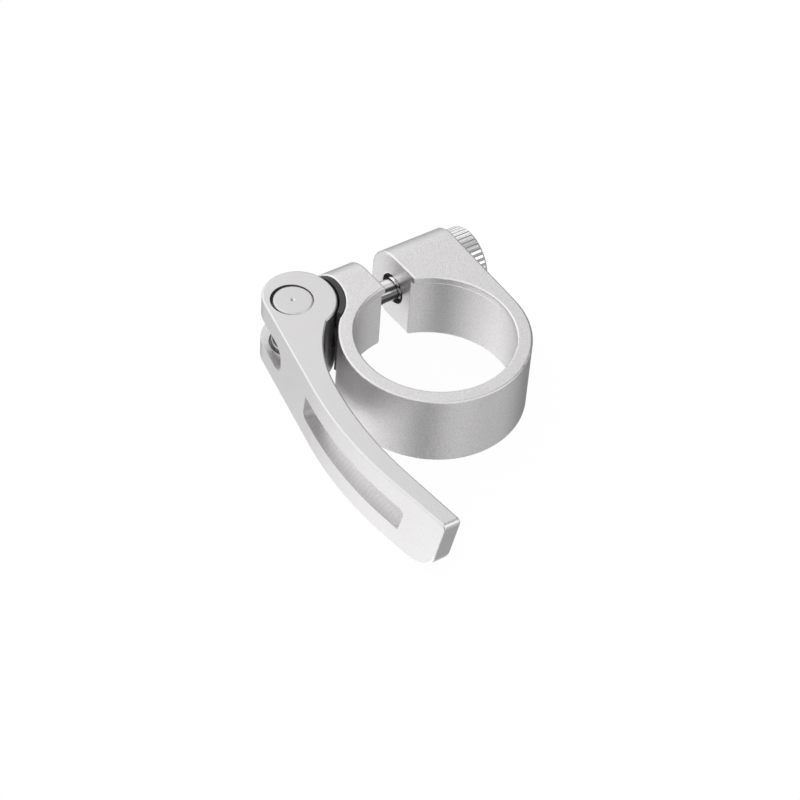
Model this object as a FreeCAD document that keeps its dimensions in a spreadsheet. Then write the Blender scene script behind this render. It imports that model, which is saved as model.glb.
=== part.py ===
import FreeCAD, Part
import math
import os
import Sketcher

# Quick-release seatpost clamp, lever closed. Millimetres.
# Origin: centre of the seat tube bore, at half the collar's height, on the level of the bolt.
# +Z runs up the seat tube, +X along the bolt towards the adjusting nut, +Y towards the ears' ends.

Vector = FreeCAD.Vector

SIZES = {
    # Collar
    "collar_height": (15.14, "height of the split collar, which the lever, pin and washer follow"),
    "bore_radius": (15.9, "bore that grips a 31.8 mm seat tube"),
    "lip_radius": (14.98, "inner radius of the lip that stops on the tube's end"),
    "lip_height": (1.5, "height of the lip"),
    "ring_wall": (2.0, "wall of the ring"),
    "ear_overhang": (6.7, "bolt's axis to the flat ends of the ears"),
    "ear_rounding": (6.2, "radius of the ears' upper and lower ends"),
    "slot_width": (6.0, "width of the slot between the ears"),
    "slot_offset": (2.4, "ring centre to the slot's middle plane"),
    "slot_tilt": (2.9, "angle of the slot to the ring's Y axis, degrees"),
    "seat_radius": (9.75, "hollow in the lever-side ear, about the pivot"),
    "seat_bite": (0.261, "how far the hollow's circle cuts into the ring's"),
    "edge_break": (0.35, "small rounding of the forged edges"),
    # Pivot and bolt
    "bolt_gap": (4.7, "bore to the bolt's axis, along Y"),
    "pin_radius": (3.8, "pivot pin"),
    "pin_edge": (0.25, "chamfer on the pivot pin's ends"),
    "pin_dimple": (0.45, "radius of the centre mark on the pin's ends"),
    "thread_radius": (2.45, "threaded ends of the clamp bolt"),
    "shank_radius": (2.15, "rolled shank between the threads"),
    "thread_gap": (0.03, "gap of the bolt in the pin's cross hole"),
    "bolt_inset": (3.1, "pivot axis to the bolt's end inside the pin"),
    "bolt_thread_left": (7.5, "thread at the pin's end"),
    "bolt_thread_right": (13.2, "thread at the nut's end"),
    "bolt_recess": (1.0, "bolt's end below the nut's outer face"),
    "bolt_edge": (0.4, "chamfer on the bolt's ends"),
    "bolt_clearance": (0.4, "gap of the bolt in the collar's ear and in the cam washer"),
    # Adjusting nut
    "nut_radius": (6.65, "over the knurl"),
    "nut_height": (4.1, "thickness of the knurled head"),
    "nut_edge": (0.45, "chamfer round the knurled head"),
    "nut_bore_gap": (0.05, "gap between the bolt's and the nut's threads"),
    "sleeve_radius": (2.98, "sleeve of the nut inside the collar's ear"),
    "sleeve_length": (10.4, "length of the sleeve"),
    "sleeve_gap": (0.17, "gap of the sleeve in the collar's ear"),
    "groove_radius": (0.3, "radius of one knurl groove"),
    "groove_count": (38, "grooves round the head"),
    # Cam washer
    "washer_gap": (0.07, "gap between the washer and its seat"),
    "washer_thickness": (1.03, "thickness of the plastic washer"),
    "washer_inset": (0.12, "washer's upper and lower edges, short of the collar's"),
    "washer_low_angle": (52.0, "washer's end on the ring's side, degrees below the bolt"),
    "washer_end_gap": (0.15, "washer's other end, short of the ears' ends"),
    # Lever, seen from above, about the pivot
    "lever_inset": (0.02, "upper and lower faces of the lever and its pin, short of the collar's"),
    "hole_gap": (0.3, "radial play of the pin in the lever's hole"),
    "hole_shift": (0.22, "how far the bolt's pull sets the pin off the hole's centre"),
    "hole_shift_angle": (150.0, "direction of the hole's centre from the pin's, degrees"),
    "cam_clearance": (0.4, "gap between the locked cam and the washer"),
    "cam_offset": (1.5, "pivot to the centre of the head, the cam's throw"),
    "cam_angle": (21.0, "direction of the cam's centre from the pivot, degrees"),
    "arm_lean": (9.6, "lean of the arm's straight root, degrees"),
    "arm_root_length": (23.05, "straight outer edge next to the head"),
    "arm_bend_radius": (81.4, "outer radius of the arm's bend"),
    "arm_tail_lean": (9.0, "lean of the arm's tail, the other way, degrees"),
    "arm_root_thickness": (4.4, "arm at the start of its bend"),
    "arm_tip_thickness": (3.3, "arm at its tip"),
    "neck_radius": (28.0, "hollow between the arm and the cam"),
    "neck_angle": (-72.8, "direction from the pivot to the hollow's end on the cam, degrees"),
    # Lever, seen from the side
    "fork_gap": (6.4, "height of the slot in the forked head"),
    "fork_depth": (7.0, "pivot to the bottom of the fork's slot"),
    "fork_corner": (2.6, "corner radius at the bottom of the fork's slot"),
    "tip_reach": (61.45, "pivot to the tip's upper edge"),
    "tip_rake": (11.3, "how far the tip's face leans back, degrees"),
    "tip_heel_radius": (7.0, "rounding of the tip's lower corner"),
    "tip_edge_radius": (0.9, "rounding of the tip's upper edge"),
    "recess_start": (18.7, "pivot to the finger recess"),
    "recess_end": (51.5, "pivot to the recess's far end"),
    "recess_height": (5.7, "height of the recess"),
    "recess_depth": (2.7, "depth of the recess"),
    "recess_lean": (0.9, "how far the recess's near end leans"),
    "recess_far_lean": (1.5, "how far the recess's far end leans"),
    "recess_corner": (1.2, "corner radius in the recess"),
    # Margins of the cutting tools beyond the metal
    "cut_margin": (3.0, "how far a cut runs past the metal"),
}

doc = FreeCAD.newDocument("seatpost_clamp")
sheet = doc.addObject("Spreadsheet::Sheet", "Sizes")
for row, (alias, (number, note)) in enumerate(SIZES.items(), start=1):
    sheet.set("A%d" % row, note)
    sheet.set("B%d" % row, str(number))
    sheet.setAlias("B%d" % row, alias)
doc.recompute()


class Size:
    """Reads the driving dimensions back from the sheet, by their aliases."""

    def __getattr__(self, alias):
        return float(sheet.get(alias))


size = Size()


class Tied:
    """A length that follows the driving ones: its number now, and the expression that keeps it true."""

    def __init__(self, number, expression):
        self.number = number
        self.text = "(" + expression + ")"


# The ring is a wall round the bore, and the bolt passes just outside the bore.
collar_radius = Tied(size.bore_radius + size.ring_wall, "Sizes.bore_radius + Sizes.ring_wall")
bolt_reach = Tied(size.bore_radius + size.bolt_gap, "Sizes.bore_radius + Sizes.bolt_gap")
ear_reach = Tied(bolt_reach.number + size.ear_overhang, bolt_reach.text + " + Sizes.ear_overhang")

# The pivot stands where the washer's hollow just cuts into the ring.
pivot_distance = Tied(collar_radius.number + size.seat_radius - size.seat_bite,
                      collar_radius.text + " + Sizes.seat_radius - Sizes.seat_bite")
pivot_offset = Tied(math.sqrt(pivot_distance.number ** 2 - bolt_reach.number ** 2),
                    "sqrt(" + pivot_distance.text + "^2 - " + bolt_reach.text + "^2)")

# The cam fills the hollow, less the washer and its gaps.
cam_space = Tied(size.seat_radius - size.washer_gap - size.washer_thickness,
                 "Sizes.seat_radius - Sizes.washer_gap - Sizes.washer_thickness")
face_radius = Tied(cam_space.number - size.cam_clearance, cam_space.text + " - Sizes.cam_clearance")
cam_radius = Tied(face_radius.number - size.cam_offset, face_radius.text + " - Sizes.cam_offset")

# The lever, its pin and the washer line up with the collar, each a small inset short of it.
lever_height = Tied(size.collar_height - 2 * size.lever_inset,
                    "Sizes.collar_height - 2 * Sizes.lever_inset")
washer_height = Tied(size.collar_height - 2 * size.washer_inset,
                     "Sizes.collar_height - 2 * Sizes.washer_inset")


def polar(radius, degrees, centre=Vector(0, 0, 0)):
    """A point at a distance and a direction from a centre."""
    angle = math.radians(degrees)
    return centre + Vector(radius * math.cos(angle), radius * math.sin(angle), 0)


def circle_crossing(centre, radius, other_centre, other_radius):
    """The two points where two circles meet."""
    apart = other_centre - centre
    along = (radius ** 2 - other_radius ** 2 + apart.Length ** 2) / (2 * apart.Length)
    across = math.sqrt(radius ** 2 - along ** 2)
    unit = Vector(apart).normalize()
    side = Vector(-unit.y, unit.x, 0)
    foot = centre + unit * along
    return foot + side * across, foot - side * across


# Sketches and features

def new_body(label, on_pivot=False):
    """A body for one piece. Pieces about the pivot have their own origin there."""
    body = doc.addObject("PartDesign::Body", label)
    body.Label = label
    if on_pivot:
        body.setExpression("Placement.Base.x", "-" + pivot_offset.text)
        body.setExpression("Placement.Base.y", bolt_reach.text)
    return body


def new_sketch(body, name, role, level=None):
    """A sketch on one of the body's own origin planes, raised by an expression."""
    sketch = body.newObject("Sketcher::SketchObject", name)
    plane = [feature for feature in body.Origin.OriginFeatures if feature.Role == role][0]
    sketch.AttachmentSupport = [(plane, "")]
    sketch.MapMode = "FlatFace"
    if level:
        sketch.setExpression("AttachmentOffset.Base.z", level)
    doc.recompute()
    return sketch


def bind(sketch, kind, where, number, expression):
    """A dimension of the sketch that follows the sheet."""
    index = sketch.addConstraint(Sketcher.Constraint(kind, *where, number))
    name = "%s_%d" % (kind.lower(), index)
    sketch.renameConstraint(index, name)
    sketch.setExpression("Constraints." + name, expression)


def add_circle(sketch, radius, radius_expression, x=0.0, x_expression=None, y=0.0, y_expression=None):
    """A circle on the sketch's origin, or at a bound place."""
    index = sketch.addGeometry(Part.Circle(Vector(x, y, 0), Vector(0, 0, 1), radius), False)
    if x_expression is None:
        sketch.addConstraint(Sketcher.Constraint("PointOnObject", index, 3, -2))
    else:
        bind(sketch, "DistanceX", (-1, 1, index, 3), x, x_expression)
    if y_expression is None:
        sketch.addConstraint(Sketcher.Constraint("PointOnObject", index, 3, -1))
    else:
        bind(sketch, "DistanceY", (-1, 1, index, 3), y, y_expression)
    bind(sketch, "Radius", (index,), radius, radius_expression)
    return index


def add_outline(sketch, edges):
    """A closed outline. Each edge is a line or an arc, given with its end points in order."""
    indices = [sketch.addGeometry(curve, False) for curve, _, _ in edges]
    for place, (_, start, end) in enumerate(edges):
        following = (place + 1) % len(edges)
        joint = (indices[place], end, indices[following], edges[following][1])
        sketch.addConstraint(Sketcher.Constraint("Coincident", *joint))
    return indices


def line(start, end):
    """A straight edge of an outline."""
    return Part.LineSegment(start, end), 1, 2


def arc(centre, start, end, clockwise=False):
    """A round edge of an outline, from start to end about the centre."""
    radius = (start - centre).Length
    circle = Part.Circle(centre, Vector(0, 0, 1), radius)
    first = math.atan2(start.y - centre.y, start.x - centre.x)
    last = math.atan2(end.y - centre.y, end.x - centre.x)
    if clockwise:
        first, last = last, first
    if last <= first:
        last += 2 * math.pi
    curve = Part.ArcOfCircle(circle, first, last)
    return (curve, 2, 1) if clockwise else (curve, 1, 2)


def rounded_polygon(corners):
    """Lines through the corners, each a point and a radius. A radius above 0 gives a tangent arc.

    The first line leads from the last corner to the first one."""
    points = [corner for corner, _ in corners]
    count = len(corners)
    turns = []
    for place, (corner, radius) in enumerate(corners):
        if not radius:
            turns.append((corner, corner, None, False))
            continue
        before = (points[place - 1] - corner).normalize()
        after = (points[(place + 1) % count] - corner).normalize()
        half = before.getAngle(after) / 2
        reach = radius / math.tan(half)
        centre = corner + (before + after).normalize() * (radius / math.sin(half))
        clockwise = before.cross(after).z > 0
        turns.append((corner + before * reach, corner + after * reach, centre, clockwise))
    outline = []
    for place, (start, end, centre, clockwise) in enumerate(turns):
        outline.append(line(turns[place - 1][1], start))
        if centre is not None:
            outline.append(arc(centre, start, end, clockwise))
    return outline


def add_rectangle(sketch, left, right, low, high):
    """A rectangle. Each side is a number with the expression that it follows."""
    corners = [Vector(left[0], low[0], 0), Vector(right[0], low[0], 0),
               Vector(right[0], high[0], 0), Vector(left[0], high[0], 0)]
    outline = rounded_polygon([(corner, 0) for corner in corners])
    left_side, bottom, right_side, top = add_outline(sketch, outline)
    for index in (bottom, top):
        sketch.addConstraint(Sketcher.Constraint("Horizontal", index))
    for index in (left_side, right_side):
        sketch.addConstraint(Sketcher.Constraint("Vertical", index))
    bind(sketch, "DistanceX", (-1, 1, left_side, 2), left[0], left[1])
    bind(sketch, "DistanceY", (-1, 1, left_side, 2), low[0], low[1])
    bind(sketch, "DistanceX", (-1, 1, right_side, 2), right[0], right[1])
    bind(sketch, "DistanceY", (-1, 1, right_side, 2), high[0], high[1])


def pad(body, name, sketch, length):
    """A solid grown equally to both sides of its sketch."""
    feature = body.newObject("PartDesign::Pad", name)
    feature.Profile = sketch
    feature.SideType = "Symmetric"
    feature.setExpression("Length", length)
    doc.recompute()
    return feature


def pocket(body, name, sketch, length=None, both_sides=False, reverse=False):
    """A cut to a length, or right through. It must take metal away."""
    before = body.Shape.Volume
    feature = body.newObject("PartDesign::Pocket", name)
    feature.Profile = sketch
    feature.SideType = "Symmetric" if both_sides else "One side"
    feature.Reversed = reverse
    if length:
        feature.setExpression("Length", length)
    else:
        feature.Type = "ThroughAll"
    doc.recompute()
    if body.Shape.Volume > before - 1e-6:
        raise RuntimeError("%s cuts nothing" % name)
    return feature


def revolve(body, name, stations, role="XY_Plane", axis="H_Axis"):
    """A turned piece: a half section turned about one of its sketch's axes.

    Each station is a corner: its two numbers, then the expressions they follow."""
    sketch = new_sketch(body, name + "_section", role)
    corners = [(Vector(x, y, 0), 0) for x, y, _, _ in stations]
    indices = add_outline(sketch, rounded_polygon(corners))
    for index, (x, y, x_expression, y_expression) in zip(indices, stations):
        bind(sketch, "DistanceX", (-1, 1, index, 2), x, x_expression)
        bind(sketch, "DistanceY", (-1, 1, index, 2), y, y_expression)
    feature = body.newObject("PartDesign::Revolution", name)
    feature.Profile = sketch
    feature.ReferenceAxis = (sketch, [axis])
    feature.Angle = 360
    doc.recompute()
    return feature


def edges_where(shape, test):
    """Names of the edges whose points all pass a test."""
    names = []
    for place, edge in enumerate(shape.Edges, start=1):
        middle = edge.valueAt((edge.FirstParameter + edge.LastParameter) / 2)
        points = [vertex.Point for vertex in edge.Vertexes] + [middle]
        if all(test(point) for point in points):
            names.append("Edge%d" % place)
    return names


def round_edges(body, name, radius, *tests):
    """A fillet on the edges that pass one of the tests."""
    base = body.Tip
    names = []
    for test in tests:
        names += [edge for edge in edges_where(base.Shape, test) if edge not in names]
    feature = body.newObject("PartDesign::Fillet", name)
    feature.Base = (base, names)
    feature.setExpression("Radius", radius)
    doc.recompute()
    return feature


TOUCH = 1e-4


def at_height(level):
    """A test for points on one level, above or below the middle plane."""
    return lambda point: abs(abs(point.z) - level) < TOUCH


# Split collar: one forged and machined piece

def make_collar():
    body = new_body("collar")
    pivot = Vector(-pivot_offset.number, bolt_reach.number, 0)
    radius = collar_radius.number
    reach = ear_reach.number
    side = Vector(radius, 0, 0)
    corner = Vector(radius, reach, 0)
    meets = circle_crossing(Vector(0, 0, 0), radius, pivot, size.seat_radius)
    low = min(meets, key=lambda point: point.y)
    rise = reach - pivot.y
    high = Vector(pivot.x + math.sqrt(size.seat_radius ** 2 - rise ** 2), reach, 0)
    plan = new_sketch(body, "collar_plan", "XY_Plane")
    ring, seat, end, flank = add_outline(plan, [
        arc(Vector(0, 0, 0), side, low, clockwise=True),
        arc(pivot, low, high),
        line(high, corner),
        line(corner, side),
    ])
    plan.addConstraint(Sketcher.Constraint("Coincident", ring, 3, -1, 1))
    bind(plan, "Radius", (ring,), radius, collar_radius.text)
    bind(plan, "DistanceX", (-1, 1, seat, 3), pivot.x, "-" + pivot_offset.text)
    bind(plan, "DistanceY", (-1, 1, seat, 3), pivot.y, bolt_reach.text)
    bind(plan, "Radius", (seat,), size.seat_radius, "Sizes.seat_radius")
    plan.addConstraint(Sketcher.Constraint("Horizontal", end))
    plan.addConstraint(Sketcher.Constraint("Vertical", flank))
    plan.addConstraint(Sketcher.Constraint("PointOnObject", flank, 2, -1))
    bind(plan, "DistanceY", (-1, 1, end, 2), reach, ear_reach.text)
    pad(body, "collar_block", plan, "Sizes.collar_height")

    level = size.collar_height / 2
    round_edges(body, "ear_ends", "Sizes.ear_rounding",
                lambda point: abs(point.y - reach) < TOUCH and at_height(level)(point))

    def outer_edge(point):
        on_ring = abs(math.hypot(point.x, point.y) - radius) < TOUCH
        on_seat = abs((Vector(point.x, point.y, 0) - pivot).Length - size.seat_radius) < TOUCH * 10
        return (on_ring and at_height(level)(point)) or on_seat

    def flank_edge(point):
        return abs(point.x - radius) < TOUCH and (point.y > TOUCH or at_height(level)(point))
    round_edges(body, "outer_edge_break", "Sizes.edge_break", outer_edge, flank_edge)

    slot = new_sketch(body, "slot_plan", "XY_Plane")
    slot.setExpression("AttachmentOffset.Rotation.Angle", "Sizes.slot_tilt")
    add_rectangle(
        slot,
        (size.slot_offset - size.slot_width / 2, "Sizes.slot_offset - Sizes.slot_width / 2"),
        (size.slot_offset + size.slot_width / 2, "Sizes.slot_offset + Sizes.slot_width / 2"),
        (size.bore_radius / 2, "Sizes.bore_radius / 2"),
        (reach + size.cut_margin, ear_reach.text + " + Sizes.cut_margin"))
    bore = new_sketch(body, "bore_plan", "XY_Plane", "-Sizes.collar_height / 2")
    add_circle(bore, size.bore_radius, "Sizes.bore_radius")
    pocket(body, "tube_bore", bore, "Sizes.collar_height - Sizes.lip_height", reverse=True)
    lip = new_sketch(body, "lip_plan", "XY_Plane", "Sizes.collar_height / 2 - Sizes.lip_height")
    add_circle(lip, size.lip_radius, "Sizes.lip_radius")
    pocket(body, "lip_opening", lip, "Sizes.lip_height + Sizes.cut_margin", reverse=True)
    pocket(body, "slot", slot, both_sides=True)

    nut_side = new_sketch(body, "sleeve_hole_plan", "YZ_Plane")
    add_circle(nut_side, size.sleeve_radius + size.sleeve_gap, "Sizes.sleeve_radius + Sizes.sleeve_gap",
               bolt_reach.number, bolt_reach.text)
    pocket(body, "sleeve_hole", nut_side, reverse=True)
    lever_side = new_sketch(body, "bolt_hole_plan", "YZ_Plane")
    add_circle(lever_side, size.thread_radius + size.bolt_clearance,
               "Sizes.thread_radius + Sizes.bolt_clearance", bolt_reach.number, bolt_reach.text)
    pocket(body, "bolt_hole", lever_side)

    def on_slot(point):
        across = polar(1, size.slot_tilt).dot(point)
        return abs(abs(across - size.slot_offset) - size.slot_width / 2) < TOUCH

    def inner_edge(point):
        on_lip = abs(math.hypot(point.x, point.y) - size.lip_radius) < TOUCH
        return abs(point.z - level) < TOUCH and (on_lip or on_slot(point))
    round_edges(body, "inner_edge_break", "Sizes.edge_break", inner_edge)
    return body


# Pivot pin: a turned barrel, cross drilled and threaded for the bolt

def make_pin():
    body = new_body("pivot_pin", on_pivot=True)
    half = lever_height.number / 2
    half_text = lever_height.text + " / 2"
    radius = size.pin_radius
    edge = size.pin_edge
    mark = size.pin_dimple
    upper = [
        (0, half - mark / 2, "0", half_text + " - Sizes.pin_dimple / 2"),
        (mark, half, "Sizes.pin_dimple", half_text),
        (radius - edge, half, "Sizes.pin_radius - Sizes.pin_edge", half_text),
        (radius, half - edge, "Sizes.pin_radius", half_text + " - Sizes.pin_edge"),
    ]
    lower = [(x, -y, x_text, "-(" + y_text + ")") for x, y, x_text, y_text in reversed(upper)]
    revolve(body, "pin_turning", upper + lower, "XZ_Plane", "V_Axis")
    hole = new_sketch(body, "cross_hole_plan", "YZ_Plane")
    add_circle(hole, size.thread_radius + size.thread_gap, "Sizes.thread_radius + Sizes.thread_gap")
    pocket(body, "cross_hole", hole, both_sides=True)
    return body


# Clamp bolt: threaded at both ends, with a rolled shank between them

def make_bolt():
    body = new_body("clamp_bolt")
    left = -pivot_offset.number - size.bolt_inset
    right = collar_radius.number + size.nut_height - size.bolt_recess
    left_text = "(-" + pivot_offset.text + " - Sizes.bolt_inset)"
    right_text = "(" + collar_radius.text + " + Sizes.nut_height - Sizes.bolt_recess)"
    edge = size.bolt_edge
    thread = size.thread_radius
    shank = size.shank_radius
    slope = thread - shank
    slope_text = "(Sizes.thread_radius - Sizes.shank_radius)"
    first = left + size.bolt_thread_left
    second = right - size.bolt_thread_right
    first_text = left_text + " + Sizes.bolt_thread_left"
    second_text = right_text + " - Sizes.bolt_thread_right"
    stations = [
        (left, 0, left_text, "0"),
        (left, thread - edge, left_text, "Sizes.thread_radius - Sizes.bolt_edge"),
        (left + edge, thread, left_text + " + Sizes.bolt_edge", "Sizes.thread_radius"),
        (first, thread, first_text, "Sizes.thread_radius"),
        (first + slope, shank, first_text + " + " + slope_text, "Sizes.shank_radius"),
        (second - slope, shank, second_text + " - " + slope_text, "Sizes.shank_radius"),
        (second, thread, second_text, "Sizes.thread_radius"),
        (right - edge, thread, right_text + " - Sizes.bolt_edge", "Sizes.thread_radius"),
        (right, thread - edge, right_text, "Sizes.thread_radius - Sizes.bolt_edge"),
        (right, 0, right_text, "0"),
    ]
    revolve(body, "bolt_turning", stations)
    body.setExpression("Placement.Base.y", bolt_reach.text)
    return body


# Adjusting nut: a knurled head with a threaded sleeve that runs into the collar's ear

def make_nut():
    body = new_body("adjusting_nut")
    radius = size.nut_radius
    height = size.nut_height
    edge = size.nut_edge
    bore = size.thread_radius + size.nut_bore_gap
    bore_text = "Sizes.thread_radius + Sizes.nut_bore_gap"
    stations = [
        (-size.sleeve_length, bore, "-Sizes.sleeve_length", bore_text),
        (-size.sleeve_length, size.sleeve_radius, "-Sizes.sleeve_length", "Sizes.sleeve_radius"),
        (0, size.sleeve_radius, "0", "Sizes.sleeve_radius"),
        (0, radius - edge, "0", "Sizes.nut_radius - Sizes.nut_edge"),
        (edge, radius, "Sizes.nut_edge", "Sizes.nut_radius"),
        (height - edge, radius, "Sizes.nut_height - Sizes.nut_edge", "Sizes.nut_radius"),
        (height, radius - edge, "Sizes.nut_height", "Sizes.nut_radius - Sizes.nut_edge"),
        (height, bore, "Sizes.nut_height", bore_text),
    ]
    revolve(body, "nut_turning", stations)
    groove_plan = new_sketch(body, "groove_plan", "YZ_Plane")
    add_circle(groove_plan, size.groove_radius, "Sizes.groove_radius", radius, "Sizes.nut_radius")
    groove = pocket(body, "groove", groove_plan, "Sizes.nut_height", reverse=True)
    knurl = body.newObject("PartDesign::PolarPattern", "knurl")
    knurl.Originals = [groove]
    knurl.Axis = ([feature for feature in body.Origin.OriginFeatures if feature.Role == "X_Axis"][0], [""])
    knurl.Angle = 360
    knurl.setExpression("Occurrences", "Sizes.groove_count")
    body.Tip = knurl
    body.setExpression("Placement.Base.x", collar_radius.text)
    body.setExpression("Placement.Base.y", bolt_reach.text)
    doc.recompute()
    return body


# Cam washer: a curved strip of black plastic between the cam and the collar's hollow

def make_washer():
    body = new_body("cam_washer", on_pivot=True)
    outer = size.seat_radius - size.washer_gap
    inner = cam_space.number
    end = size.ear_overhang - size.washer_end_gap
    inner_low = polar(inner, -size.washer_low_angle)
    outer_low = polar(outer, -size.washer_low_angle)
    outer_high = Vector(math.sqrt(outer ** 2 - end ** 2), end, 0)
    inner_high = Vector(math.sqrt(inner ** 2 - end ** 2), end, 0)
    centre = Vector(0, 0, 0)
    plan = new_sketch(body, "washer_plan", "XY_Plane")
    low_end, back, high_end, face = add_outline(plan, [
        line(inner_low, outer_low),
        arc(centre, outer_low, outer_high),
        line(outer_high, inner_high),
        arc(centre, inner_high, inner_low, clockwise=True),
    ])
    for index in (back, face):
        plan.addConstraint(Sketcher.Constraint("Coincident", index, 3, -1, 1))
    bind(plan, "Radius", (back,), outer, "Sizes.seat_radius - Sizes.washer_gap")
    bind(plan, "Radius", (face,), inner, cam_space.text)
    plan.addConstraint(Sketcher.Constraint("PointOnObject", -1, 1, low_end))
    plan.addConstraint(Sketcher.Constraint("Horizontal", high_end))
    bind(plan, "DistanceY", (-1, 1, high_end, 1), end,
         "Sizes.ear_overhang - Sizes.washer_end_gap")
    bind(plan, "DistanceX", (-1, 1, low_end, 2), outer_low.x,
         "(Sizes.seat_radius - Sizes.washer_gap) * cos(Sizes.washer_low_angle * 1deg)")
    pad(body, "washer_strip", plan, washer_height.text)
    level = washer_height.number / 2
    rounding = size.ear_rounding
    beyond = size.cut_margin
    for name, sign, text in (("upper", 1, ""), ("lower", -1, "-")):
        corner = new_sketch(body, name + "_end_plan", "YZ_Plane")
        start = Vector(end - rounding, sign * level, 0)
        finish = Vector(end, sign * (level - rounding), 0)
        beside = Vector(end + beyond, finish.y, 0)
        outside = Vector(end + beyond, sign * (level + beyond), 0)
        above = Vector(start.x, sign * (level + beyond), 0)
        curve = add_outline(corner, [
            arc(Vector(start.x, finish.y, 0), start, finish, clockwise=sign > 0),
            line(finish, beside),
            line(beside, outside),
            line(outside, above),
            line(above, start),
        ])[0]
        bind(corner, "Radius", (curve,), rounding, "Sizes.ear_rounding")
        bind(corner, "DistanceX", (-1, 1, curve, 3), start.x,
             "Sizes.ear_overhang - Sizes.washer_end_gap - Sizes.ear_rounding")
        bind(corner, "DistanceY", (-1, 1, curve, 3), finish.y,
             text + "(" + washer_height.text + " / 2 - Sizes.ear_rounding)")
        pocket(body, name + "_end", corner, both_sides=True)
    hole = new_sketch(body, "washer_hole_plan", "YZ_Plane")
    add_circle(hole, size.thread_radius + size.bolt_clearance, "Sizes.thread_radius + Sizes.bolt_clearance")
    pocket(body, "washer_hole", hole, reverse=True)
    return body


# Lever: a forged arm whose forked head is the cam

class LeverPlan:
    """The lever's outline from above, about the pivot, worked out from its driving sizes."""

    def __init__(self):
        self.cam = polar(size.cam_offset, size.cam_angle)
        self.bend_centre, self.root, self.bend, self.tail_start, self.tail_run = self.outer_edge(0)
        self.tail_end = self.tail_start + self.tail_run
        self.inner_edge()
        self.neck_edge()

    def outer_edge(self, inward):
        """The arm's outer edge, moved inward: bend centre, root, bend start and end, tail run."""
        lean = 180 - size.arm_lean
        root = polar(cam_radius.number, lean, self.cam)
        bend = root + polar(size.arm_root_length, lean + 90)
        centre = polar(size.arm_bend_radius, -size.arm_lean, bend)
        radius = size.arm_bend_radius - inward
        bend_start = polar(radius, lean, centre)
        bend_end = polar(radius, 180 + size.arm_tail_lean, centre)
        reach = size.tip_reach + size.cut_margin
        drop = reach + polar(size.arm_bend_radius, 180 + size.arm_tail_lean, centre).y
        tail = polar(drop / math.cos(math.radians(size.arm_tail_lean)), size.arm_tail_lean - 90)
        return centre, polar(inward, -size.arm_lean, root), bend_start, bend_end, tail

    def inner_edge(self):
        """The arm's inner edge: the arm gets thinner along its length."""
        bend_angle = size.arm_lean + size.arm_tail_lean
        bend_run = size.arm_bend_radius * math.radians(bend_angle)
        whole_run = bend_run + self.tail_run.Length
        loss = size.arm_root_thickness - size.arm_tip_thickness
        start_angle = 180 - size.arm_lean
        places = []
        for share in (0.0, 0.5, 1.0):
            thickness = size.arm_root_thickness - loss * share * bend_run / whole_run
            angle = start_angle + share * bend_angle
            places.append(polar(size.arm_bend_radius - thickness, angle, self.bend_centre))
        self.inner_bend, self.inner_middle, self.inner_tail = places
        self.inner_end = self.tail_end + polar(size.arm_tip_thickness, size.arm_tail_lean)
        self.inner_centre = Part.ArcOfCircle(self.inner_tail, self.inner_middle, self.inner_bend).Center

    def neck_edge(self):
        """The hollow leaves the inner edge smoothly and runs up to the cam's locked face."""
        self.face_start = polar(face_radius.number, size.neck_angle)
        self.face_end = polar(face_radius.number, size.cam_angle)
        inner_radius = (self.inner_bend - self.inner_centre).Length
        centres = circle_crossing(self.inner_centre, inner_radius - size.neck_radius,
                                  self.face_start, size.neck_radius)
        self.neck_centre = min(centres, key=lambda point: point.y)
        spoke = (self.neck_centre - self.inner_centre).normalize()
        self.neck_start = self.inner_centre + spoke * inner_radius

    def outline(self):
        return [
            arc(self.cam, self.face_end, self.root),
            line(self.root, self.bend),
            arc(self.bend_centre, self.bend, self.tail_start),
            line(self.tail_start, self.tail_end),
            line(self.tail_end, self.inner_end),
            line(self.inner_end, self.inner_tail),
            arc(self.inner_centre, self.inner_tail, self.neck_start, clockwise=True),
            arc(self.neck_centre, self.neck_start, self.face_start, clockwise=True),
            arc(Vector(0, 0, 0), self.face_start, self.face_end),
        ]

    def recess_band(self):
        """The strip along the arm's outer edge that the finger recess is cut from."""
        outside = self.outer_edge(-size.cut_margin)
        inside = self.outer_edge(size.recess_depth)
        outer_points = [outside[1], outside[2], outside[3], outside[3] + outside[4]]
        inner_points = [inside[1], inside[2], inside[3], inside[3] + inside[4]]
        return [
            line(outer_points[0], outer_points[1]),
            arc(self.bend_centre, outer_points[1], outer_points[2]),
            line(outer_points[2], outer_points[3]),
            line(outer_points[3], inner_points[3]),
            line(inner_points[3], inner_points[2]),
            arc(self.bend_centre, inner_points[2], inner_points[1], clockwise=True),
            line(inner_points[1], inner_points[0]),
            line(inner_points[0], outer_points[0]),
        ]


def plan_sketch(name):
    """A free sketch from above, with its origin on the pivot."""
    sketch = doc.addObject("Sketcher::SketchObject", name)
    sketch.setExpression("Placement.Base.x", "-" + pivot_offset.text)
    sketch.setExpression("Placement.Base.y", bolt_reach.text)
    return sketch


def side_sketch(name):
    """A free sketch from the side, with its origin on the pivot: x runs along Y, y along Z."""
    sketch = doc.addObject("Sketcher::SketchObject", name)
    sketch.Placement = FreeCAD.Placement(Vector(0, 0, 0), FreeCAD.Rotation(Vector(1, 1, 1), 120))
    sketch.setExpression("Placement.Base.x", "-" + pivot_offset.text)
    sketch.setExpression("Placement.Base.y", bolt_reach.text)
    return sketch


def extrude(name, sketch, length, direction):
    """A solid grown equally to both sides of a free sketch."""
    feature = doc.addObject("Part::Extrusion", name)
    feature.Base = sketch
    feature.DirMode = "Custom"
    feature.Dir = direction
    feature.Solid = True
    feature.Symmetric = True
    feature.setExpression("LengthFwd", length)
    doc.recompute()
    return feature


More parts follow.
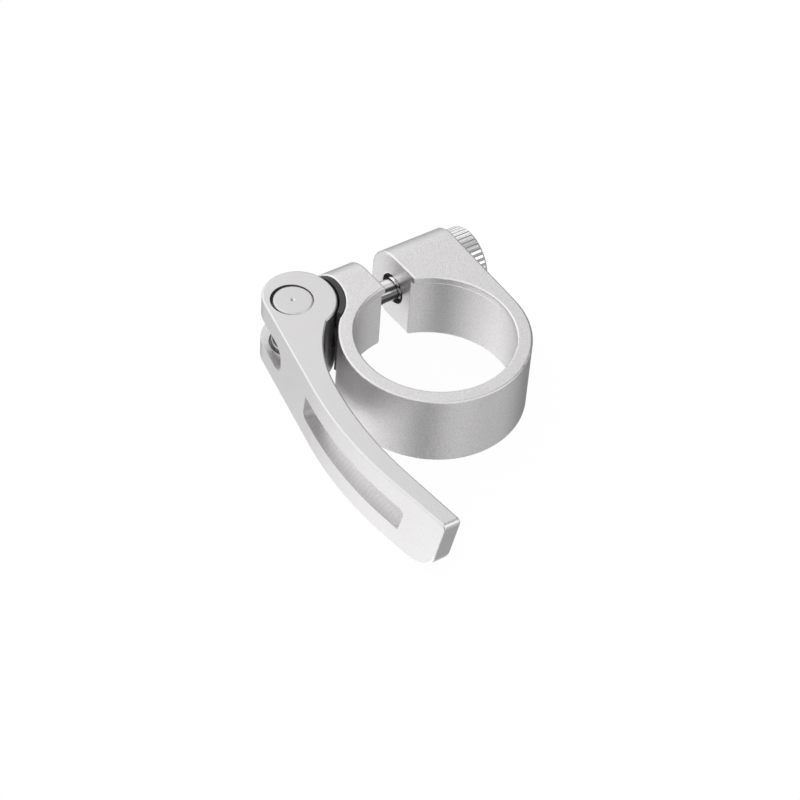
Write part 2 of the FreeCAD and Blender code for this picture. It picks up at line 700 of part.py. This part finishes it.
def cut_away(name, base, tool):
    """The first shape without the second."""
    feature = doc.addObject("Part::Cut", name)
    feature.Base = base
    feature.Tool = tool
    doc.recompute()
    return feature


def keep_common(name, first, second):
    """The metal that two shapes share."""
    feature = doc.addObject("Part::MultiCommon", name)
    feature.Shapes = [first, second]
    doc.recompute()
    return feature


def make_lever():
    plan = LeverPlan()
    up = Vector(0, 0, 1)
    across = Vector(1, 0, 0)
    reach = "2 * (Sizes.tip_reach + Sizes.cut_margin)"
    outline = plan_sketch("lever_plan")
    head, root, bend, _, tip_end, _, _, neck, face = add_outline(outline, plan.outline())
    bind(outline, "Radius", (head,), cam_radius.number, cam_radius.text)
    bind(outline, "Distance", (root,), size.arm_root_length, "Sizes.arm_root_length")
    bind(outline, "Radius", (bend,), size.arm_bend_radius, "Sizes.arm_bend_radius")
    bind(outline, "Distance", (tip_end,), size.arm_tip_thickness, "Sizes.arm_tip_thickness")
    bind(outline, "Radius", (neck,), size.neck_radius, "Sizes.neck_radius")
    bind(outline, "Radius", (face,), face_radius.number, face_radius.text)
    blank = extrude("lever_blank", outline, lever_height.text, up)

    # The side view gives the tip: a raked face over a large heel.
    half = lever_height.number / 2
    head_top = face_radius.number + size.cut_margin
    tip = size.tip_reach
    heel = tip - lever_height.number * math.tan(math.radians(size.tip_rake))
    side = side_sketch("lever_side")
    edges = rounded_polygon([
        (Vector(head_top, -half, 0), 0),
        (Vector(head_top, half, 0), 0),
        (Vector(-tip, half, 0), size.tip_edge_radius),
        (Vector(-heel, -half, 0), size.tip_heel_radius),
    ])
    side_edges = add_outline(side, edges)
    bind(side, "Radius", (side_edges[3],), size.tip_edge_radius, "Sizes.tip_edge_radius")
    bind(side, "Radius", (side_edges[5],), size.tip_heel_radius, "Sizes.tip_heel_radius")
    profile = extrude("lever_profile", side, reach, across)
    forged = keep_common("lever_forging", blank, profile)

    # The forging's upper and lower outlines are rounded, and with them the tip's edges.
    softened = doc.addObject("Part::Fillet", "lever_softened")
    softened.Base = forged
    on_faces = [int(name[4:]) for name in edges_where(forged.Shape, at_height(half))]
    softened.Edges = [(edge, size.edge_break, size.edge_break) for edge in on_faces]
    doc.recompute()

    # The fork's slot lets the bolt swing from the cam side over the head to the back.
    gap = size.fork_gap / 2
    fork = side_sketch("fork_side")
    fork_edges = add_outline(fork, rounded_polygon([
        (Vector(-size.fork_depth, -gap, 0), size.fork_corner),
        (Vector(head_top, -gap, 0), 0),
        (Vector(head_top, gap, 0), 0),
        (Vector(-size.fork_depth, gap, 0), size.fork_corner),
    ]))
    bind(fork, "Radius", (fork_edges[1],), size.fork_corner, "Sizes.fork_corner")
    fork_slot = extrude("fork_slot", fork, reach, across)
    forked = cut_away("lever_forked", softened, fork_slot)

    # The finger recess follows the bend of the arm's outer face.
    band = plan_sketch("recess_plan")
    add_outline(band, plan.recess_band())
    strip = extrude("recess_strip", band, "Sizes.recess_height + Sizes.cut_margin", up)
    rise = size.recess_height / 2
    recess_side = side_sketch("recess_side")
    add_outline(recess_side, rounded_polygon([
        (Vector(-size.recess_start, rise, 0), 0),
        (Vector(-size.recess_end, rise, 0), size.recess_corner),
        (Vector(-size.recess_end + size.recess_far_lean, -rise, 0), 0),
        (Vector(-size.recess_start + size.recess_lean, -rise, 0), size.recess_corner),
    ]))
    window = extrude("recess_window", recess_side, reach, across)
    recess = keep_common("recess_tool", strip, window)
    recessed = cut_away("lever_recessed", forked, recess)

    # The hole for the pivot pin, set off by the play that the bolt pulls to one side.
    hole_plan = plan_sketch("lever_hole_plan")
    centre = polar(size.hole_shift, size.hole_shift_angle)
    add_circle(hole_plan, size.pin_radius + size.hole_gap, "Sizes.pin_radius + Sizes.hole_gap",
               centre.x, "Sizes.hole_shift * cos(Sizes.hole_shift_angle * 1deg)",
               centre.y, "Sizes.hole_shift * sin(Sizes.hole_shift_angle * 1deg)")
    drill = extrude("lever_drill", hole_plan, lever_height.text + " + Sizes.cut_margin", up)
    drilled = cut_away("lever_drilled", recessed, drill)
    drilled.Label = "lever"
    return drilled


pieces = [make_collar(), make_pin(), make_bolt(), make_nut(), make_washer(), make_lever()]
doc.recompute()

for item in doc.Objects:
    if "Invalid" in item.State or "Error" in item.State:
        raise RuntimeError("%s failed: %s" % (item.Name, item.State))
for piece in pieces:
    if piece.Shape.isNull() or not piece.Shape.isValid():
        raise RuntimeError("%s has no valid shape" % piece.Label)

os.makedirs("parts", exist_ok=True)
for piece in pieces:
    piece.Shape.exportStep("parts/%s.step" % piece.Label)
    box = piece.Shape.BoundBox
    print("%s: %d solid, %.1f mm3, x %.2f to %.2f, y %.2f to %.2f, z %.2f to %.2f" % (
        piece.Label, len(piece.Shape.Solids), piece.Shape.Volume,
        box.XMin, box.XMax, box.YMin, box.YMax, box.ZMin, box.ZMax))
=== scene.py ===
"""A quick-release seatpost clamp in satin aluminium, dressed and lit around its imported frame."""

import math

import bpy
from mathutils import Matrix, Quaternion, Vector


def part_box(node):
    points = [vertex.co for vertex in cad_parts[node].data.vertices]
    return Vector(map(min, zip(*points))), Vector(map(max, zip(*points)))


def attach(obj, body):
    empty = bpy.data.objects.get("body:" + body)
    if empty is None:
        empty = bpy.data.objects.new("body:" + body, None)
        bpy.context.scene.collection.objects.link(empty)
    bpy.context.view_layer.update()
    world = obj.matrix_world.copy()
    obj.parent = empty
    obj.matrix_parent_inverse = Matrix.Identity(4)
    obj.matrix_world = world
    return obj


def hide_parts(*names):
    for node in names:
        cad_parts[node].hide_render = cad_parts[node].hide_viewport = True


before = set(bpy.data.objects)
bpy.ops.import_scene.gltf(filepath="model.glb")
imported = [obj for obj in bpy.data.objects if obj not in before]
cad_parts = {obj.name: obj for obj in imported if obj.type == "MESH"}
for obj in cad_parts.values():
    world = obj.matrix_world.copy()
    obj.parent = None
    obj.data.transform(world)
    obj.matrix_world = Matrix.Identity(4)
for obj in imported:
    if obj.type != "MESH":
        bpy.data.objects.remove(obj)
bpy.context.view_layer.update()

MM = 0.001
WHITE = (1, 1, 1, 1)

# The camera: place, aim and roll as worked out from the photograph's perspective. The lens and
# the sensor are in millimetres, and the clip distances in metres.
CAMERA_PLACE = Vector((-218.82, -288.50, 354.956)) * MM
CAMERA_AZIMUTH = math.radians(-36.30)
CAMERA_ELEVATION = math.radians(45.272)
CAMERA_ROLL = math.radians(4.549)
CAMERA_LENS = 123.08
SENSOR_WIDTH = 36.0
CLIP_START = 0.01
CLIP_END = 10.0

# The floor lies at the collar's lower face.
FLOOR_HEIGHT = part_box("collar")[0].z
FLOOR_SIZE = 3.0
FLOOR_PAPER = (0.85, 0.85, 0.85, 1)
FLOOR_WHITE_SHARE = 0.93
FLOOR_WHITE_LEVEL = 1.02

# The room's soft lights: azimuth and elevation, bright core and border in degrees, and strength.
# Those below the horizon stand for the lit sweep under the object, which the metal mirrors.
ROOM_LEVEL = 0.22
LIGHTS = [
    (120, 50, 20, 70, 0.42),
    (85, 38, 10, 50, 0.53),
    (120, 5, 20, 70, 0.34),
    (180, 5, 10, 50, 0.50),
    (240, 50, 20, 70, 0.49),
    (234, 45, 5, 30, 0.30),
    (255, -10, 5, 35, 0.51),
    (300, -10, 20, 70, 0.34),
    (62, -8, 5, 30, 0.18),
    (144, -14, 5, 25, 0.60),
    (180, -55, 5, 35, 0.42),
    (315, 26, 8, 35, 0.80),
    (122, -45, 5, 30, 0.26),
    (265, -45, 3, 28, 0.17),
    (335, -45, 3, 30, 0.10),
    (135, -75, 5, 35, 1.30),
    (90, -75, 5, 35, 0.60),
]

# From here on sizes are in millimetres, and shades are shares of the material's colour.

# Finishes: the span that a noise fills, wide clouds in the metal's shade, and how far gloss varies.
NOISE_SPAN = (0.3, 0.7)
CLOUD_SIZE = 6.0
CLOUD_SHADE = 0.01
METAL_GLOSS_SPREAD = 0.04
PLASTIC_GLOSS_SPREAD = 0.06
PLASTIC_GRAIN_SIZE = 0.15
PLASTIC_GRAIN_DEPTH = 0.004
PLASTIC_EDGE = 0.15

COLLAR_COLOUR = (0.768, 0.755, 0.762)
LEVER_COLOUR = (0.738, 0.727, 0.733)
PIN_COLOUR = (0.708, 0.698, 0.703)
NUT_COLOUR = (0.85, 0.838, 0.845)
STEEL_COLOUR = (0.66, 0.655, 0.66)
PLASTIC_COLOUR = (0.035, 0.035, 0.038)

# The nut's knurl turns from dark to bright between two depths below its crest: painted shade in
# its grooves and a painted highlight on its ridges. A face with turned rings is one whose normal
# points along the axis by more than the share TURNED_FACING.
GROOVE_DEPTH = 0.28
RIDGE_DEPTH = 0.12
# Painted shade in the grooves and a painted highlight on the ridges, as shares of the nut's colour.
GROOVE_PAINTED_SHADE = 0.4
RIDGE_PAINTED_HIGHLIGHT = 1.15
RING_SPACING = 0.35
TURNED_FACING = 0.4

# The bolt's drawn streaks, which also stand in for reflections, and its bright and dark bands,
# which are a painted reflection. A band's row says that from one height above the axis to another
# the shade changes by so much.
STREAK_SIZE = 0.7
STREAK_STRETCH = (0.05, 1, 1)
STREAK_NOISE_SPAN = (0.4, 0.6)
STREAK_SHADES = (0.7, 1.2)
# The painted reflection's darkest shade, to which the bands add.
STEEL_PAINTED_BASE_SHADE = 0.12
STEEL_PAINTED_REFLECTION_BANDS = [
    (0.3, 0.7, 0.75),
    (1.25, 1.45, -0.75),
    (1.72, 2.0, 1.15),
]

# The bolt's rolled thread: its length at each end, its form, and how finely it is drawn.
THREAD_PITCH = 0.8
THREAD_DEPTH = 0.42
THREAD_LEFT = 7.5
THREAD_RIGHT = 17.0
FLANK_SLOPE = 1.3
CREST_FLAT = 0.15
SHANK_RADIUS = 2.15
BOLT_EDGE = 0.4
BOLT_SIDES = 32
STATIONS_A_TURN = 16
SHARP_ANGLE = math.radians(35)

# The finger recess in the lever, counted from the pivot along Y, the cutter marks in it, painted
# light on its lower wall and painted shade on its near end. Its lower wall faces up, and its near end
# faces the tip, by more than the share WALL_FACING.
PIVOT_Y = sum(corner.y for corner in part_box("pivot_pin")) / 2 / MM
RECESS_START = 18.7
RECESS_END = 51.5
RECESS_HALF_HEIGHT = 2.85
RECESS_MARGIN = 0.1
WALL_FACING = 0.5
# Painted light on the lower wall and painted shade on the near end, as shares of the lever's colour.
WALL_PAINTED_LIGHT = 1.3
END_PAINTED_SHADE = 0.5
STROKE_SHADE = 0.94
STROKE_RELIEF = 0.5
STROKE_SPACING = 0.9
STROKE_SLANT = math.radians(25)
STROKE_WAVER = 3.0

# The phase of Blender's wave texture, in radians, for one unit of length at a scale of 1.
WAVE_PHASE = 20


def direction(azimuth, elevation):
    """The way from the object to a light; azimuth is counted from +X towards +Y, in degrees."""
    around = math.radians(azimuth)
    up = math.radians(elevation)
    return Vector((math.cos(around) * math.cos(up), math.sin(around) * math.cos(up), math.sin(up)))


def add_object(name, data):
    """Puts a new object into the scene."""
    made = bpy.data.objects.new(name, data)
    bpy.context.scene.collection.objects.link(made)
    return made


def make_camera():
    """The photograph's camera."""
    data = bpy.data.cameras.new("camera")
    data.lens = CAMERA_LENS
    data.sensor_width = SENSOR_WIDTH
    data.clip_start = CLIP_START
    data.clip_end = CLIP_END
    camera = add_object("camera", data)
    back = Vector((
        math.sin(CAMERA_AZIMUTH) * math.cos(CAMERA_ELEVATION),
        -math.cos(CAMERA_AZIMUTH) * math.cos(CAMERA_ELEVATION),
        math.sin(CAMERA_ELEVATION),
    ))
    camera.location = CAMERA_PLACE
    camera.rotation_mode = "QUATERNION"
    level = (-back).to_track_quat("-Z", "Y")
    camera.rotation_quaternion = level @ Quaternion((0, 0, 1), CAMERA_ROLL)
    bpy.context.scene.camera = camera


class Shader:
    """A node tree that is written as calls: each adds a node and links what it is given."""

    def __init__(self, tree):
        self.tree = tree

    def add(self, kind, settings=None, **inputs):
        """Adds a node; an input's name has an underscore for each space."""
        made = self.tree.nodes.new(kind)
        for name, value in (settings or {}).items():
            setattr(made, name, value)
        for name, value in inputs.items():
            self.feed(made.inputs[name.replace("_", " ")], value)
        return made

    def feed(self, socket, value):
        """Links a socket to another, or sets its value."""
        if isinstance(value, bpy.types.NodeSocket):
            self.tree.links.new(value, socket)
        else:
            socket.default_value = value

    def feed_in_order(self, made, values):
        """Gives a node's first inputs their values."""
        for socket, value in zip(made.inputs, values):
            self.feed(socket, value)

    def math(self, operation, *values):
        made = self.add("ShaderNodeMath", {"operation": operation})
        self.feed_in_order(made, values)
        return made.outputs["Value"]

    def vector(self, operation, *values):
        made = self.add("ShaderNodeVectorMath", {"operation": operation})
        self.feed_in_order(made, values)
        return made

    def mix(self, share, first, second):
        made = self.add("ShaderNodeMixShader")
        self.feed_in_order(made, (share, first, second))
        return made.outputs["Shader"]

    def span(self, value, low, high, to_low, to_high, smooth=False):
        """Maps a value from one span to another."""
        made = self.add("ShaderNodeMapRange", {"interpolation_type": "SMOOTHSTEP" if smooth else "LINEAR"})
        names = ("Value", "From Min", "From Max", "To Min", "To Max")
        for name, number in zip(names, (value, low, high, to_low, to_high)):
            self.feed(made.inputs[name], number)
        return made.outputs["Result"]

    def noise(self, place, size, detail=2.0):
        """Noise with lumps of about the given size."""
        made = self.add("ShaderNodeTexNoise", Vector=place, Scale=1 / size, Detail=detail)
        return made.outputs["Fac"]


def make_world():
    """A soft studio: each light is a round patch of the room with a soft border."""
    world = bpy.data.worlds.new("studio")
    bpy.context.scene.world = world
    world.use_nodes = True
    world.node_tree.nodes.clear()
    shader = Shader(world.node_tree)
    ray = shader.add("ShaderNodeTexCoord").outputs["Generated"]
    level = ROOM_LEVEL
    for azimuth, elevation, core, border, strength in LIGHTS:
        nearness = shader.vector("DOT_PRODUCT", ray, direction(azimuth, elevation)).outputs["Value"]
        dark_from = math.cos(math.radians(border))
        bright_from = math.cos(math.radians(core))
        patch = shader.span(nearness, dark_from, bright_from, 0, strength, smooth=True)
        level = shader.math("ADD", level, patch)
    room = shader.add("ShaderNodeBackground", Color=WHITE, Strength=level)
    white = shader.add("ShaderNodeBackground", Color=WHITE, Strength=1.0)
    path = shader.add("ShaderNodeLightPath")
    seen = shader.mix(path.outputs["Is Camera Ray"], room.outputs["Background"], white.outputs["Background"])
    shader.add("ShaderNodeOutputWorld", Surface=seen)


def floor_material():
    """Pale paper that lights the object, and that the camera sees nearly white."""
    material = bpy.data.materials.new("floor_white")
    material.use_nodes = True
    material.node_tree.nodes.clear()
    shader = Shader(material.node_tree)
    paper = shader.add("ShaderNodeBsdfDiffuse", Color=FLOOR_PAPER).outputs["BSDF"]
    white = shader.add("ShaderNodeEmission", Strength=FLOOR_WHITE_LEVEL).outputs["Emission"]
    path = shader.add("ShaderNodeLightPath")
    share = shader.math("MULTIPLY", path.outputs["Is Camera Ray"], FLOOR_WHITE_SHARE)
    shader.add("ShaderNodeOutputMaterial", Surface=shader.mix(share, paper, white))
    return material


def make_floor():
    """A plain pale floor; the metal mirrors the room in its place."""
    half = FLOOR_SIZE / 2
    corners = [(-half, -half), (half, -half), (half, half), (-half, half)]
    mesh = bpy.data.meshes.new("floor")
    mesh.from_pydata([(x, y, FLOOR_HEIGHT) for x, y in corners], [], [(0, 1, 2, 3)])
    mesh.materials.append(floor_material())
    floor = add_object("floor", mesh)
    floor.visible_glossy = False
    floor.visible_shadow = False


def new_material(name):
    """A material with the writer of its nodes and its surface node."""
    material = bpy.data.materials.new(name)
    material.use_nodes = True
    return material, Shader(material.node_tree), material.node_tree.nodes["Principled BSDF"]


def set_gloss(shader, surface, grain, roughness, spread):
    """Lets the roughness vary with the grain."""
    gloss = shader.span(grain, *NOISE_SPAN, roughness - spread, roughness + spread)
    shader.feed(surface.inputs["Roughness"], gloss)


def set_relief(shader, surface, height, depth, edge):
    """Raises the surface by a height, and softens its edges."""
    rounded = shader.add("ShaderNodeBevel", Radius=edge * MM).outputs["Normal"]
    bump = shader.add("ShaderNodeBump", Strength=1.0, Distance=depth * MM, Height=height, Normal=rounded)
    shader.feed(surface.inputs["Normal"], bump.outputs["Normal"])


def metal(name, colour, roughness, grain=0.28, depth=0.025, mottle=0.05, edge=0.12, extra=None):
    """Blasted, turned or drawn metal with a fine grain in height, shade and gloss.

    The grain's size and depth and the softened edge are in millimetres, and mottle is how far the
    shade varies. An extra gives a share of the shade, and a relief to add to the grain.
    """
    material, shader, surface = new_material(name)
    surface.inputs["Metallic"].default_value = 1.0
    place = shader.add("ShaderNodeTexCoord").outputs["Object"]
    blast = shader.noise(place, grain * MM, detail=3.0)
    cloud = shader.noise(place, CLOUD_SIZE * MM)
    height = blast
    shade = shader.math("ADD", shader.span(blast, *NOISE_SPAN, 1 - mottle, 1 + mottle),
                        shader.span(cloud, *NOISE_SPAN, -CLOUD_SHADE, CLOUD_SHADE))
    if extra:
        share, relief = extra(shader, place)
        shade = shader.math("MULTIPLY", shade, share)
        height = shader.math("ADD", blast, relief)
    tint = shader.vector("SCALE", colour)
    shader.feed(tint.inputs["Scale"], shade)
    shader.feed(surface.inputs["Base Color"], tint.outputs["Vector"])
    set_gloss(shader, surface, blast, roughness, METAL_GLOSS_SPREAD)
    set_relief(shader, surface, height, depth, edge)
    return material


def plastic(name, colour, roughness):
    """Moulded plastic with a faint matt grain."""
    material, shader, surface = new_material(name)
    surface.inputs["Base Color"].default_value = (*colour, 1)
    place = shader.add("ShaderNodeTexCoord").outputs["Object"]
    skin = shader.noise(place, PLASTIC_GRAIN_SIZE * MM)
    set_gloss(shader, surface, skin, roughness, PLASTIC_GLOSS_SPREAD)
    set_relief(shader, surface, skin, PLASTIC_GRAIN_DEPTH, PLASTIC_EDGE)
    return material


def knurl_painted_shade(shader, place):
    """Painted shade in the knurl's grooves and a painted highlight on its ridges; the faces have turned
    rings.
    """
    low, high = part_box("adjusting_nut")
    axis_y = (low.y + high.y) / 2
    crest = (high.z - low.z) / 2
    from_axis = shader.vector("SUBTRACT", place, (0, axis_y, 0)).outputs["Vector"]
    across = shader.vector("MULTIPLY", from_axis, (0, 1, 1)).outputs["Vector"]
    radius = shader.vector("LENGTH", across).outputs["Value"]
    groove = crest - GROOVE_DEPTH * MM
    ridge = crest - RIDGE_DEPTH * MM
    # Painted shade in the grooves, turning to a painted highlight on the ridges.
    shade = shader.span(radius, groove, ridge, GROOVE_PAINTED_SHADE, RIDGE_PAINTED_HIGHLIGHT)
    normal = shader.add("ShaderNodeNewGeometry").outputs["True Normal"]
    along = shader.add("ShaderNodeSeparateXYZ", Vector=normal).outputs["X"]
    turned_face = shader.math("GREATER_THAN", shader.math("ABSOLUTE", along), TURNED_FACING)
    rings = shader.math("SINE", shader.math("MULTIPLY", radius, math.tau / (RING_SPACING * MM)))
    return shader.math("MAXIMUM", shade, turned_face), shader.math("MULTIPLY", rings, turned_face)


def steel_streaks_and_painted_reflection(shader, place):
    """Painted reflection on the bolt: bands by height, and drawn streaks that also stand in for reflections.
    """
    # Drawn streaks, partly a random tone and partly standing in for reflections.
    drawn = shader.vector("MULTIPLY", place, STREAK_STRETCH).outputs["Vector"]
    streak = shader.span(shader.noise(drawn, STREAK_SIZE * MM), *STREAK_NOISE_SPAN, *STREAK_SHADES)
    height = shader.add("ShaderNodeSeparateXYZ", Vector=place).outputs["Z"]
    # Painted reflection: dark below, a bright band, a dark line, and a bright band near the top.
    shade = STEEL_PAINTED_BASE_SHADE
    for low, high, change in STEEL_PAINTED_REFLECTION_BANDS:
        shade = shader.math("ADD", shade, shader.span(height, low * MM, high * MM, 0, change, smooth=True))
    return shader.math("MULTIPLY", streak, shade), 0.0


def recess_parts(shader, place):
    """Where the lever's surface is the recess's lower wall, and where it is the near end."""
    spot = shader.add("ShaderNodeSeparateXYZ", Vector=place).outputs
    normal = shader.add("ShaderNodeNewGeometry").outputs["True Normal"]
    to_lever = {"vector_type": "NORMAL", "convert_from": "WORLD", "convert_to": "OBJECT"}
    own_normal = shader.add("ShaderNodeVectorTransform", to_lever, Vector=normal).outputs["Vector"]
    facing = shader.add("ShaderNodeSeparateXYZ", Vector=own_normal).outputs
    past_start = shader.math("LESS_THAN", spot["Y"], (PIVOT_Y - RECESS_START) * MM)
    before_end = shader.math("GREATER_THAN", spot["Y"], (PIVOT_Y - RECESS_END) * MM)
    half_height = (RECESS_HALF_HEIGHT + RECESS_MARGIN) * MM
    within = shader.math("LESS_THAN", shader.math("ABSOLUTE", spot["Z"]), half_height)
    inside = shader.math("MULTIPLY", shader.math("MULTIPLY", past_start, before_end), within)
    wall = shader.math("MULTIPLY", inside, shader.math("GREATER_THAN", facing["Z"], WALL_FACING))
    end = shader.math("MULTIPLY", inside, shader.math("LESS_THAN", facing["Y"], -WALL_FACING))
    return wall, end


def recess_strokes_painted_light_and_shade(shader, place):
    """In the finger recess, slanted cutter marks and painted light on the lower wall, and painted shade on
    the near end.
    """
    turned = shader.add("ShaderNodeMapping", Vector=place, Rotation=(0, 0, -STROKE_SLANT))
    marks = shader.add("ShaderNodeTexWave", {"wave_type": "BANDS", "bands_direction": "Y"},
                       Vector=turned.outputs["Vector"],
                       Scale=math.tau / (WAVE_PHASE * STROKE_SPACING * MM),
                       Distortion=STROKE_WAVER, Detail=2.0, Detail_Scale=1.5)
    wall, end = recess_parts(shader, place)
    stroke = shader.math("MULTIPLY", wall, marks.outputs["Fac"])
    # Painted light on the lower wall, then the cutter marks, then painted shade on the near end.
    painted_light_on_wall = shader.span(wall, 0, 1, 1, WALL_PAINTED_LIGHT)
    marked = shader.math("MULTIPLY", painted_light_on_wall, shader.span(stroke, 0, 1, 1, STROKE_SHADE))
    shade = shader.math("MULTIPLY", marked, shader.span(end, 0, 1, 1, END_PAINTED_SHADE))
    return shade, shader.math("MULTIPLY", stroke, STROKE_RELIEF)


def dress(name, material):
    """Gives a CAD node its finish."""
    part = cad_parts[name]
    part.data.materials.clear()
    part.data.materials.append(material)


def bolt_radius(x, turn, left, right, crest):
    """The bolt's radius in millimetres at a place along it, with its two rolled threads."""
    past_left = left + THREAD_LEFT - x
    past_right = x - (right - THREAD_RIGHT)
    into_thread = max(past_left, past_right)
    if into_thread <= 0:
        return SHANK_RADIUS
    # The flank goes from 0 on the crest to 1 in the root, and both are a little flat.
    flank = abs(2 * ((x / THREAD_PITCH - turn) % 1) - 1)
    cut = THREAD_DEPTH * min(1, max(0, FLANK_SLOPE * flank - CREST_FLAT))
    thread = crest - cut
    runout = min(1, into_thread / THREAD_PITCH)
    radius = SHANK_RADIUS + (thread - SHANK_RADIUS) * runout
    to_end = min(x - left, right - x)
    return min(radius, crest - BOLT_EDGE + to_end)


def bolt_points(low, high):
    """Rings of points along the bolt, from its left end to its right, in the CAD bolt's box."""
    left, right = low.x / MM, high.x / MM
    middle_y, middle_z = (low.y + high.y) / 2, (low.z + high.z) / 2
    crest = (high.z - low.z) / 2 / MM
    step = THREAD_PITCH / STATIONS_A_TURN
    count = round((right - left) / step)
    points = []
    for station in range(count + 1):
        x = left + (right - left) * station / count
        for side in range(BOLT_SIDES):
            turn = side / BOLT_SIDES
            radius = bolt_radius(x, turn, left, right, crest) * MM
            angle = math.tau * turn
            points.append((x * MM, middle_y + radius * math.cos(angle), middle_z + radius * math.sin(angle)))
    return points


def tube_faces(point_count, sides):
    """The faces between rings of points, and then one across each end."""
    faces = []
    last = point_count - sides
    for ring in range(0, last, sides):
        for side in range(sides):
            here = ring + side
            beside = ring + (side + 1) % sides
            faces.append((here, beside, beside + sides, here + sides))
    faces.append(tuple(reversed(range(sides))))
    faces.append(tuple(range(last, last + sides)))
    return faces


def make_bolt(material):
    """The clamp bolt with a real thread, in place of the CAD's plain one."""
    points = bolt_points(*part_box("clamp_bolt"))
    mesh = bpy.data.meshes.new("threaded_bolt")
    mesh.from_pydata(points, [], tube_faces(len(points), BOLT_SIDES))
    mesh.shade_smooth()
    mesh.set_sharp_from_angle(angle=SHARP_ANGLE)
    mesh.materials.append(material)
    bolt = add_object("threaded_bolt", mesh)
    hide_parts("clamp_bolt")
    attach(bolt, "bolt")


make_camera()
make_world()
make_floor()

collar_metal = metal("collar_metal", COLLAR_COLOUR, roughness=0.32, grain=0.32, depth=0.04,
                     mottle=0.09, edge=0.28)
lever_metal = metal("lever_metal", LEVER_COLOUR, roughness=0.34, edge=0.05, extra=recess_strokes_painted_light_and_shade)
pin_metal = metal("pin_metal", PIN_COLOUR, roughness=0.33, depth=0.015, edge=0.3)
nut_metal = metal("nut_metal", NUT_COLOUR, roughness=0.28, depth=0.01, edge=0.04, extra=knurl_painted_shade)
washer_plastic = plastic("washer_plastic", PLASTIC_COLOUR, roughness=0.45)
bolt_steel = metal("bolt_steel", STEEL_COLOUR, roughness=0.12, depth=0.002, mottle=0.02, edge=0.02,
                   extra=steel_streaks_and_painted_reflection)

dress("collar", collar_metal)
dress("lever", lever_metal)
dress("pivot_pin", pin_metal)
dress("adjusting_nut", nut_metal)
dress("cam_washer", washer_plastic)
make_bolt(bolt_steel)

bpy.context.scene.view_settings.view_transform = "Standard"
